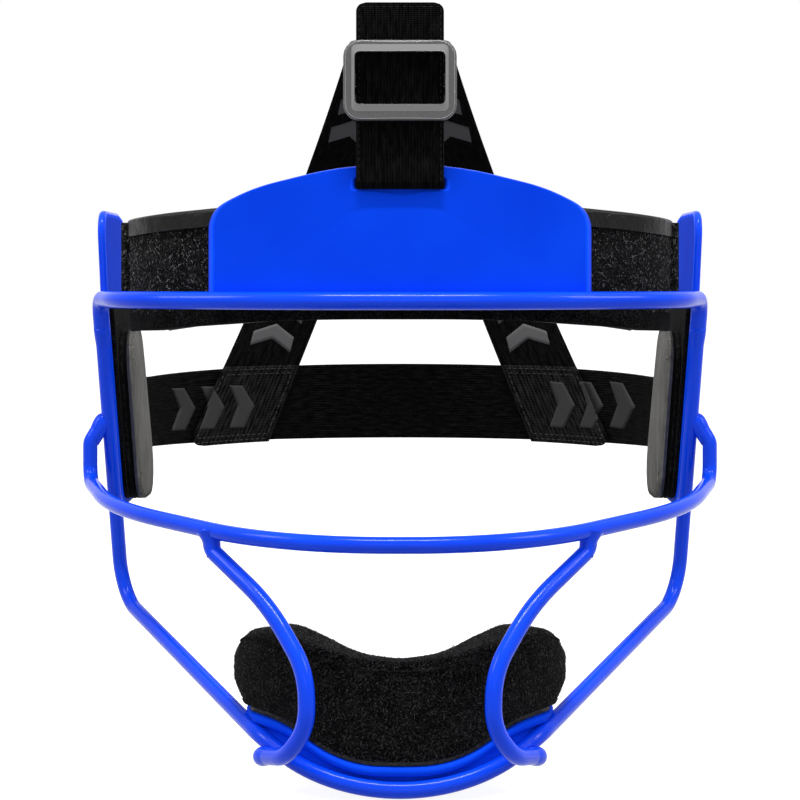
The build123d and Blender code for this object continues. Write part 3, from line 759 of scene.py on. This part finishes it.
def dome_profile(wall):
    """Radius, height and outward direction down the dome's outline, whose bottom has the
    radius wall: a straight wall, a long arc and a tighter one over the crown."""
    inset = 94.3 - wall
    side_arc, crown_arc, change = 123.73 - inset, 78 - inset, 49.94
    up = joined([foot_heights, linspace(-51, -15, 20)[1:]])
    side = radians(linspace(0, change, 60)[1:])
    top = radians(linspace(change, 78, 40)[1:])
    radius = joined([0 * up + wall, -29.43 + side_arc * cos(side), crown_arc * cos(top)])
    height = joined([up, -15 + side_arc * sin(side), crown_height + crown_arc * sin(top)])
    return radius, height, joined([0 * up, side, top])


def vee_middle(height):
    """X of the left crown strap's middle: 59 less tan slant x the height over the back strap."""
    return 59 - (height - back_height) * np.tan(slant)


def slanted_strap(radius, height, tilt, thick):
    """A strap whose rows are level cuts of the dome, between its slanted edges, the middle
    plane and the end of the lap. The outer corner at its foot has a 5 mm round, and pulled
    tight over the crown it is up to 2.4 mm narrower."""
    corner, lap_end, pull = 5, 21, 2.4
    low = np.maximum(vee_middle(height) - half_level, 0.1)
    high = np.minimum(vee_middle(height) + half_level,
                      sqrt(np.maximum(radius ** 2 - lap_end ** 2, 1)))
    high = high - round_in(corner - height + height.min(), corner)
    high = high - pull * clip((height + 35) / 80, 0, 1)
    kept = high - low > 3
    radius, height, tilt, low, high = (a[kept] for a in (radius, height, tilt, low, high))
    across, lift = stadium(high - low, thick)
    x = (low + high)[:, None] / 2 + across
    deep = sqrt(radius[:, None] ** 2 - x ** 2)
    flat = cos(tilt)[:, None] / radius[:, None]
    points = grid(x + lift * flat * x, head_back + deep + lift * flat * deep,
                  height[:, None] + lift * sin(tilt)[:, None])
    along = lengths(grid(radius, height))[:, None] / cos(slant)
    return points, knit_uv((x - vee_middle(height)[:, None]) * cos(slant), along)


points, uv = slanted_strap(*dome_profile(93.5), strap_thick)
build_both("crown_strap_{}_webbing", points, webbing, "root", "webbing", "crown_strap_{}", uv=uv)
height = joined([foot_heights, linspace(-51, -26.95, 14)[1:]])
points, uv = slanted_strap(0 * height + 92.2, height, 0 * height, patch_thick)
build_both("crown_patch_{}_cloth", points, patch_cloth, "root", "patch", "crown_patch_{}", uv=uv)

# %% [markdown]
# ### Printed arrowheads
#
# Rows of plain grey arrowheads are printed on the straps' head side. A print is a thin film on its
# strap. Each arrowhead is the strip between two bent lines, given in X and Z as they are seen from
# the front.

# %% Arrowhead films
ink = plain("grey printed ink", "#585858", 0.75, 0.03)
# The lower rows, on the back strap and its patches, are printed in a darker grey.
darker_ink = plain("grey printed ink, darker", "#383838", 0.8, 0.03)
patch_wall, back_wall, vee_wall = 91.8, 94.4, 92.7


def wall_radius(wall, z, lift):
    """The radius of a strap's head side, less a lift, at each height."""
    if wall != vee_wall:
        return 0 * z + wall - lift
    radius, height, _ = dome_profile(wall - lift)
    return np.interp(z, height, radius)


def on_wall(x, z, radius):
    """Points at a radius from the head's axis, at given X and Z: Y is the axis's Y plus
    sqrt(radius^2 - X^2)."""
    return grid(x, head_back + sqrt(radius ** 2 - x ** 2), z)


def arrowhead(first, second, wall):
    """The strip between two lines of three corners. A point's Y is the hub's Y plus
    sqrt(r^2 - X^2), with r the wall's radius at its height. On a patch it ends at the edges."""
    t, u = linspace(0, 2, 21), linspace(0, 1, 5)[:, None]
    first, second = (at(array(line), t, [0, 1, 2]) for line in (first, second))
    flat = first[:, None] * (1 - u) + second[:, None] * u
    x, z = flat[..., 0], flat[..., 1]
    if wall == patch_wall:
        middle, half = vee_middle(z), half_level - 0.2
        x = np.sign(x) * clip(np.abs(x), middle - half, middle + half)
    near, far = (on_wall(x, z, wall_radius(wall, z, lift)) for lift in (-0.02, 0.12))
    return joined([near, far[:, ::-1]], 1)


def pointing(left, tip, top, foot):
    """The two lines of a rightward arrowhead between its left edge and its tip."""
    notch, middle, wide = left + 0.32 * (tip - left), (top + foot) / 2, tip - left
    return ([(left, top), (notch, middle), (left, foot)],
            [(tip - 0.48 * wide, top - 0.3), (tip, middle - 0.1), (tip - 0.42 * wide, foot - 0.2)])


left_two, right_two = (-75.1, -66.6, -34.0, -49.9), (68.0, 76.4, -32.3, -49.6)
on_back = ((-84.4, -76.8, -33.9, -49.6), left_two, right_two, (78.4, 86.5, -31.8, -48.9))
on_patch = (left_two, (-65.0, -55.9, -34.0, -50.2), (57.4, 66.6, -32.7, -50.2), right_two)
heads = [arrowhead(*pointing(*edges), wall)
         for wall, row in ((back_wall, on_back), (patch_wall, on_patch)) for edges in row]
build("printed_arrowheads_back", array(heads), darker_ink, "root", "webbing")
upper = array([(7.4, 2.5), (-1.1, 5.2), (-7.6, -0.2)])
lower = array([(8.7, -2.9), (0.7, -0.5), (-6.1, -6.2)])
heads = []
for height in (-16, -5, 6, 61.2, 71):
    middle = array([vee_middle(height), height])
    head = arrowhead(upper + middle, lower + middle, vee_wall)
    heads += [head, head * array([-1, 1, 1])]
build("printed_arrowheads_vee", array(heads), ink, "root", "webbing")
print("arrowheads", len(on_back) + len(on_patch) + len(heads))

# %% [markdown]
# ### Stitches
#
# Straps are sewn with bonded nylon thread. A stitch shows as a short rounded stroke that dips
# into the cloth at both ends, so each one here is a small spindle.

# %% Stitch rows
thread = plain("bonded nylon thread", "#343434", 0.6, 0.1)
edge_thread = plain("bonded nylon thread, black", "#1B1B1B", 0.6, 0.1)


def spindles(starts, ends, radius, columns=6, shape=(0.25, 0.85, 1, 0.85, 0.25)):
    """Thin rounded strokes from starts to ends, many at once. The ring at each share of the
    length has its own part of the radius."""
    around = ring_round(unit(ends - starts), [0.37, 0.21, 0.91], columns)
    share = linspace(0, 1, len(shape))[:, None]
    spine = starts[:, None] + share * (ends - starts)[:, None]
    radius = np.broadcast_to(radius, len(starts))[:, None, None, None]
    return spine[:, :, None] + array(shape)[None, :, None, None] * radius * around[:, None]


def sewn(rows, stitch, gap, radius):
    """Even stitches along each row."""
    runs = [(row, np.arange(gap, lengths(row)[-1] - stitch, stitch + gap)) for row in rows]
    return spindles(*(joined([at(row, here + moved) for row, here in runs])
                      for moved in (0, stitch)), radius)


rows = [array([(x, 0.5, 34.5), (x, 0.5, 86.6)]) for x in (-12.1, 12.1)]
rows.append(array([(-12.1, 0.5, 86.9), (12.1, 0.5, 86.9)]))
fine_stitches = sewn(rows, 1.3, 0.7, 0.13)
build("strap_edge_stitches", fine_stitches, edge_thread, "root", "webbing")

stitch_wall = patch_wall - 0.05
x, z = (half_level - 1.2) * linspace(-1, 1, 30), linspace(-53.5, -29.5, 30)
rows = [on_wall(vee_middle(height) + x, height, stitch_wall)
        for height in (-28.2, -30.0, -53.2, -55.0)]
for edge in (-half_level + 1.5, half_level - 1.5):
    rows.append(on_wall(vee_middle(z) + edge, z, stitch_wall))
z = linspace(-52.5, -30.7, 8)
for y in (137.0, 139.0, 148.0):
    across = sqrt((97.4 + strap_thick / 2) ** 2 - (y - head_back) ** 2)
    rows.append(grid(across, y, z))
side_rows = sewn(rows, 1.7, 0.8, 0.2)
rows = []
for lap in radians((20.0, 29.5)):
    reach = crown_radius + strap_thick / 2 + 0.05
    spot = (head_back + reach * sin(lap), crown_height + reach * cos(lap))
    rows.append(array([(-11.5, *spot), (11.5, *spot)]))
seams = joined([side_rows, side_rows * array([-1.0, 1, 1]), sewn(rows, 1.7, 0.8, 0.2)])
build("seam_stitches", seams, thread, "root", "webbing")
print("stitches", len(fine_stitches) + len(seams))

# %% [markdown]
# ## Forehead pad
#
# The pad is a strip of foam between two fabrics, bent round the brow. Its front is brushed
# loop that grips the hook strips, its head side a knitted lining, and a smooth tape binds the
# top edge. Each layer is a rounded section carried along the brow line, and the ends are
# squeezed in to close softly.

# %% Sections carried round the brow
pad_corners = both_ways([(36.04, 0.0, 0.0), (86.0, 27.0, -3.86), (*brow_end, -5.18)])
pad_line = filled(bent(pad_corners, [None] * 4, steps=40), 1.0)
pad_inward = left_of(pad_line[:, :2])


def brow_sweep(section, end_round):
    """Section points are (back, up). Each column follows the brow line pushed back by its own
    distance and stops where Y reaches the pad's end. Over the last end_round millimetres the
    section shrinks by round_in."""
    here = lengths(pad_line)
    middle, right = here[-1] / 2, here > here[-1] / 2
    near_end = linspace(0, 0.04, 8)[:-1]
    share = joined([near_end - 1, linspace(-0.96, 0.96, 141), 1 - near_end[::-1]])
    centre = (section.max(0) + section.min(0)) / 2
    half = np.ptp(section, axis=0) / 2
    columns = []
    for spot in section:
        moved = pad_line[:, :2] + pad_inward * spot[0]
        reach = np.interp(47.0, moved[right, 1], here[right]) - middle
        inset = round_in(end_round - (1 - np.abs(share)) * reach, end_round)
        shrunk = centre + (spot - centre) * (1 - inset[:, None] / half)
        along = middle + share * reach
        base = at(pad_line, along)
        base[:, :2] += at(pad_inward, along, here) * shrunk[:, :1]
        base[:, 2] += shrunk[:, 1]
        columns.append(base)
    around = lengths(joined([section, section[:1]]))
    uv = grid(around, (share * middle)[:, None])
    return stack(columns, 1), joined([uv, uv[-1:]])


def crown(back, rise, low, high):
    """The bulging head side of the pad: back + rise x (1 - share^2), with share -1 at its low
    edge and 1 at its top edge."""
    up = linspace(low, high, 15)
    return [(back + rise * (1 - ((2 * z - low - high) / (high - low)) ** 2), z) for z in up]


# %% [markdown]
# ### Soft fabrics
#
# Brushed nylon loop is a black knit whose pile was raised with wire brushes, so pale fibre ends
# stand over a dark ground. The lining is a grey jersey with fine ribs, and the binding a smooth
# black tape with a slight gloss.

# %% Pad materials
def pile_material(name, light, grain, tuft):
    """Brushed pile: fine noise for the fibres, with a slower noise that tufts them."""
    return grained(name, (0.95, 0.03, 0.02), (grain, 5.0, 0.7, 0.8), 0.15, (tuft, 2.0),
                   ((0.56, "#010101"), (0.74, light)), 1.0, 0.5)


loop_pile = pile_material("brushed nylon loop", "#2E2E2E", 0.6, 5.0)
foam_skin = pile_material("black closed-cell foam", "#101010", 0.7, 4.0)
binding_tape = grained("smooth black binding tape", (0.33, 0.17), (6, 3.0), 0.12, (0.5, 2.0),
                       ((0.35, "#010101"), (0.75, "#0A0A0A")), 0.8, 1.4)

lining_cloth, tree, shader = start("grey jersey lining", 0.9, 0.06, 0.05)
where = add(tree, "TexCoord").outputs["Object"]
stretched = add(tree, "Mapping", inputs={"Vector": where, "Scale": (1, 1, 0.12)})
tint(tree, shader, noise(tree, stretched.outputs[0], 1.4, 4.0), (0.3, "#54534F"),
     (0.7, "#6E6D69"))
ribs = add(tree, "TexWave", {"bands_direction": "Y"},
           {"Vector": where, "Scale": 1 / (3.2 * MM), "Distortion": 0.6, "Detail": 1.0})
emboss(tree, shader, ribs.outputs["Fac"], 0.35, 0.15)

# %% Forehead pad layers
low, high, seam = -5.6, 29.1, 24.3
skin_round, foam_round = [0.5] + [None] * 13 + [0.5], [2.0] + [None] * 13 + [2.0]
sections = {
    "loop": (box(6.5, 7.9, low, high, 0.65), loop_pile, "loop_fabric", 0.65),
    "foam": (filled_loop([(7.95, low + 0.1)] + crown(17.85, 2.0, low + 0.1, high - 0.1)
                         + [(7.95, high - 0.1)], [1.5, *foam_round, 1.5]),
             foam_skin, "foam", 3.0),
    "lining": (filled_loop(crown(17.9, 2.0, low, high) + crown(19.0, 2.0, low, high)[::-1],
                           skin_round * 2), lining_cloth, "lining", 0.5),
    "binding": (filled_loop([(5.7, seam), (6.45, seam), (6.45, high + 0.05), (17.8, high + 0.05),
                             (17.8, high + 0.8), (5.7, high + 0.8)],
                            [0.35, 0.35, 0.1, 0.35, 0.35, 1.2]), binding_tape, "binding", 0.35),
}
for layer, (section, material, slot, end_round) in sections.items():
    points, uv = brow_sweep(section, end_round)
    piece = build(f"forehead_pad_{layer}_soft", points, material, "forehead_pad", slot,
                  f"forehead_pad_{layer}", uv=uv)

# %% [markdown]
# ## Temple pads
#
# Each temple pad is cut from sheet: a loop face, a foam slice whose edges slope in, and the
# grey lining that shows from the front through the eye opening. A layer is a set of rings: the
# outline moved in by an inset at each depth, closed by rings that shrink to its middle.

# %% Cushions cut from sheet
def cut_layer(outline, start, thick, round_edge, rise=0.0):
    """Rings of a flat layer in the side plane, from a clockwise outline. The edge follows a
    quarter circle at each face, and the inner face rises by rise x (1 - share^4)."""
    middle = outline.mean(0)
    onward = unit(np.roll(outline, -1, 0) - np.roll(outline, 1, 0))
    inward = grid(onward[:, 1], -onward[:, 0])
    quarter = linspace(0, pi / 2, 5)
    inset = round_edge * joined([1 - sin(quarter), 1 - cos(quarter)])
    deep = joined([round_edge * (1 - cos(quarter)),
                   thick - round_edge + round_edge * sin(quarter)])
    rings = outline[None] + inward[None] * inset[:, None, None]
    share = linspace(0.02, 1, 10)[:-1]
    inner = middle + (rings[0] - middle) * share[:, None, None]
    outer = middle + (rings[-1] - middle) * share[::-1, None, None]
    flatwise = joined([inner, rings, outer])
    deep = joined([0 * share, deep, thick + rise * (1 - share[::-1] ** 4)])
    depth = -temple_inset - sheet / 2 - start - deep
    return in_side(flatwise, depth[:, None])


pad_outline = filled_loop([(7.27, -10.5), (37.27, -10.5), (56.9, -68.0), (19.41, -68.0)],
                          [11.0] * 4, 1.0)
for layer, sizes, material, slot in (("loop", (1.7, 1.4, 0.6), loop_pile, "loop_fabric"),
                                     ("foam", (3.15, 1.3, 0.6), foam_skin, "foam"),
                                     ("lining", (4.0, 2.4, 2.2, 0.9), lining_cloth, "lining")):
    for piece in build_both(f"temple_pad_{{}}_{layer}_soft", cut_layer(pad_outline, *sizes),
                            material, "temple_pad_{}", slot, f"temple_pad_{{}}_{layer}"):
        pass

hook_outline = filled_loop([(3.6, -0.8), (52.0, -0.8), (56.6, -67.6), (18.6, -67.6)],
                           [2.0, 4.0, 11.0, 9.0], 1.0)
build_both("temple_hook_{}_tape", cut_layer(hook_outline, 0.03, 1.5, 0.4), loop_pile, "root",
           "hook_tape", "temple_hook_strip_{}")

# A short tape closes each end of the forehead pad.
end_line = filled(bent([(84.5, 46.4), (88.4, 47.2), (88.3, 53.0)], [1.5]), 0.5)
end_section = box(-0.5, 0.5, -3.0, 24.4, 0.4, 1.0)
flatwise = end_line[:, None] + left_of(end_line)[:, None] * end_section[:, :1]
build_both("forehead_pad_end_{}", grid(flatwise[..., 0], flatwise[..., 1], end_section[:, 1]),
           loop_pile, "forehead_pad", "loop_fabric")

# %% [markdown]
# ## Chin pad
#
# The chin pad is one moulded cushion in brushed loop fabric, bent round the chin, fuller
# towards its two lobes and thinning to their ends. Its rows are sections at angles round the
# chin, and each section is a rounded box. Its underside rests on the tray's hook strip.

# %% Chin cushion
stations = array([0, 0.2, 0.45, 0.68, 0.84, 1.0, 1.1])
share = linspace(-1.1, 1.1, 141)


def eased(*values):
    """Values at the stations, carried evenly between them and smoothed by a short average."""
    rough = np.interp(np.abs(share), stations, values)
    return np.convolve(np.pad(rough, 4, "edge"), np.ones(9) / 9, "valid")


thick = 17 * eased(0.6, 0.66, 1.0, 1.0, 1.0, 0.74, 0.3)
top = -99.5 + 7.0 * eased(0.05, 0.2, 0.65, 1.04, 0.9, -0.3, -0.85)
bottom = -127.6 + 11.4 * eased(-0.2, -0.1, 0, 0.4, 1.0, 1.6, 1.75)
forward = np.where(np.abs(share) < 0.5, (17 - thick) / 2, 0)
section = box(-1, 1, -1, 1, 0.42, 0.06)
radius = 48.5 + forward[:, None] + section[:, 0] * thick[:, None] / 2
z = (top + bottom)[:, None] / 2 + section[:, 1] * (top - bottom)[:, None] / 2
x, y = round_chin(radius, radians(62 * share)[:, None])
z = np.maximum(z, tray_height(x) + 1.75)
cushion = grid(x, y, z)
print("chin cushion", cushion.shape[:2], "points")
piece = build("chin_pad_cushion", cushion, loop_pile, "chin_pad", "loop_fabric", "chin_pad_loop",
              "chin_pad_foam", "chin_pad_lining")

# %% [markdown]
# ### Seams and raised fibres
#
# The chin cushion's cover is welted along its front edges. Fibre ends stand up all over the
# brushed loop: short spindles with a seeded random place and lean, so that every run gives the
# same pile.

# %% Welts and pile
front_corners = [np.argmax(section @ array([1, up])) for up in (1, -1)]
welts = array([cord_along(cushion[14:-14, k], 0.5) for k in front_corners])
build("chin_pad_welts", welts, loop_pile, "chin_pad", "loop_fabric")

random = np.random.default_rng(11)
pale_fibre = plain("raised nylon fibre, pale", "#8C8C8C", 0.6)
dark_fibre = plain("raised nylon fibre, dark", "#303030", 0.6)


def pile(roots, outward, longest):
    """Spindles from the roots that lean at random and a little outward."""
    lean_to = unit(random.normal(size=roots.shape) * array([1, 1, 1.7]))
    lean_to -= (lean_to * outward).sum(1, keepdims=True) * outward
    long = random.uniform(0.4, 1, (len(roots), 1)) * longest
    tips = roots + (unit(lean_to) * 0.92 + outward * 0.35) * long
    return spindles(roots, tips, random.uniform(0.6, 1, len(roots)) * 0.07, 3, (1, 0.8, 0.15))


count, here = 9000, lengths(pad_line)
along = random.uniform(0.0793, 1.9207, count) * here[-1] / 2
up = random.uniform(low + 0.4, seam - 0.2, count)
roots, push = at(pad_line, along), at(pad_inward, along, here)
# Fibres are kept to the pad's sides and left out below the brow bar, so the pad stays plain black
# there as painted shade.
shown = (np.abs(roots[:, 0]) > 50) & (up > 0) & (roots[:, 1] + 6.5 * push[:, 1] < 46)
roots[:, :2] += push * 6.48
roots[:, 2] += up
facing = grid(*-push.T, 0)
out, above, side = random.uniform(0, 1, (420, 3)).T
x = (84.6 + 3.9 * out) * np.where(side < 0.5, -1, 1)
end_roots = grid(x, 46.0 + 0.7 * out, 25.0 * above - 1)
roots = joined([roots[shown], end_roots])
facing = joined([facing[shown], 0 * end_roots + array([0, -1.0, 0])])
mix = random.permutation(len(roots))
split = int(0.3 * len(roots))
for name, material, part in (("pale", pale_fibre, mix[:split]), ("dark", dark_fibre, mix[split:])):
    build(f"forehead_pile_{name}", pile(roots[part], facing[part], 1.2), material,
          "forehead_pad", "loop_fabric")
print("forehead pad fibres", len(roots))

count = 7000
row = random.integers(2, len(cushion) - 3, count)
column = random.integers(0, cushion.shape[1], count)
mix = random.uniform(0, 1, (count, 2, 1))
roots = cushion[row, column]
a, b = cushion[row + 1, column] - roots, cushion[row, (column + 1) % cushion.shape[1]] - roots
roots = roots + mix[:, 0] * a + mix[:, 1] * b
facing = unit(np.cross(a, b) + 1e-9)
facing *= np.sign(((roots - cushion[row].mean(1)) * facing).sum(1, keepdims=True))
build("chin_pad_pile", pile(roots, facing, 1.1), dark_fibre, "chin_pad", "loop_fabric")
print("chin pad fibres", count)

# %% [markdown]
# ## Slide adjuster and hook tape
#
# The adjuster is a cast metal slide in satin grey, with a fine grain and no mirror. Hook tape is
# woven nylon with tiny hooks in rows, and hardly shows under the pads.

# %% Adjuster and hook tape
# A lighter grey for the bevel round the window, as a painted highlight.
bevel_highlight_satin = plain("satin grey cast slide, bevel with painted highlight", "#7A7A7A", 0.45)
satin, tree, shader = start("satin grey cast slide", 0.42)
cast = noise(tree, add(tree, "TexCoord").outputs["Object"], 0.5, 3.0)
tint(tree, shader, cast, (0.3, "#404040"), (0.7, "#505050"))
emboss(tree, shader, cast, 0.3, 0.05)

# Columns go over the frame's front face, its outer edge, its back, the window and the bevel. The
# bevel's columns get a lighter grey, a painted highlight.
hub = array([0, 65.65])
near, slope, far = (seen_from(hub, outline)[:, None] for outline in (
    box(-13.4, 13.4, 57.85, 73.45, 1.5, 0.3), box(-14.3, 14.3, 55.75, 75.5, 1.6, 0.3),
    box(-16.7, 16.7, 53.15, 76.85, 4.7, 0.3)))
quarter = linspace(0, pi / 2, 5)
edge, back_edge, flat = 0.7, 0.4, array([0, 0.04, 0.5, 0.96, 1])
reach = joined([slope + 0.1 + (far - edge - slope - 0.1) * flat,
                far - edge + edge * sin(quarter),
                far - back_edge * (1 - cos(quarter)),
                far - back_edge + (near + 0.9 - far) * flat, near + 0.5 - 0.5 * flat,
                near + 0 * flat, near + (slope - near) * flat], 1)
deep = joined([0 * flat, edge * (1 - cos(quarter)), 2.2 + back_edge * sin(quarter),
               2.6 + 0 * flat, 2.6 - 0.4 * flat, 2.2 - 2.7 * flat, -0.5 + 0.45 * flat])
flatwise = looking_out(hub, reach)
build("slide_frame", grid(flatwise[..., 0], deep - 2.4, flatwise[..., 1]), satin, "adjuster",
      "glide_steel", "tri_glide", ring=True, strip=(len(deep) - 5, len(deep) - 1, bevel_highlight_satin))

flatwise = filled(bent([(-15.3, -0.6), (-15.3, 5.3), (15.3, 5.3), (15.3, -0.6)], [1.5, 1.5]), 0.6)
section = box(-1, 1, -1, 1, 0.35, 0.2)
post = clip((np.abs(flatwise[:, :1]) - 13.2) / 2, 0, 1)
tall, wide = 1.8 + 1.4 * post, 1.0 + 0.3 * post
planwise = flatwise[:, None] + left_of(flatwise)[:, None] * (section[:, 0] * wide)[..., None]
build("slide_bar", grid(planwise[..., 0], planwise[..., 1], hub[1] + section[:, 1] * tall),
      satin, "adjuster", "glide_steel")

hooks, tree, shader = start("woven nylon hook tape", 0.6)
stubs = add(tree, "TexVoronoi", inputs={"Vector": add(tree, "TexCoord").outputs["Object"],
                                        "Scale": 1 / (1.2 * MM)}).outputs["Distance"]
tint(tree, shader, stubs, (0.1, "#262626"), (0.5, "#070707"))
emboss(tree, shader, stubs, 1.0, 0.4, inverted=True)
coated(hooks, "forehead_hook_strip", "chin_hook_strip")
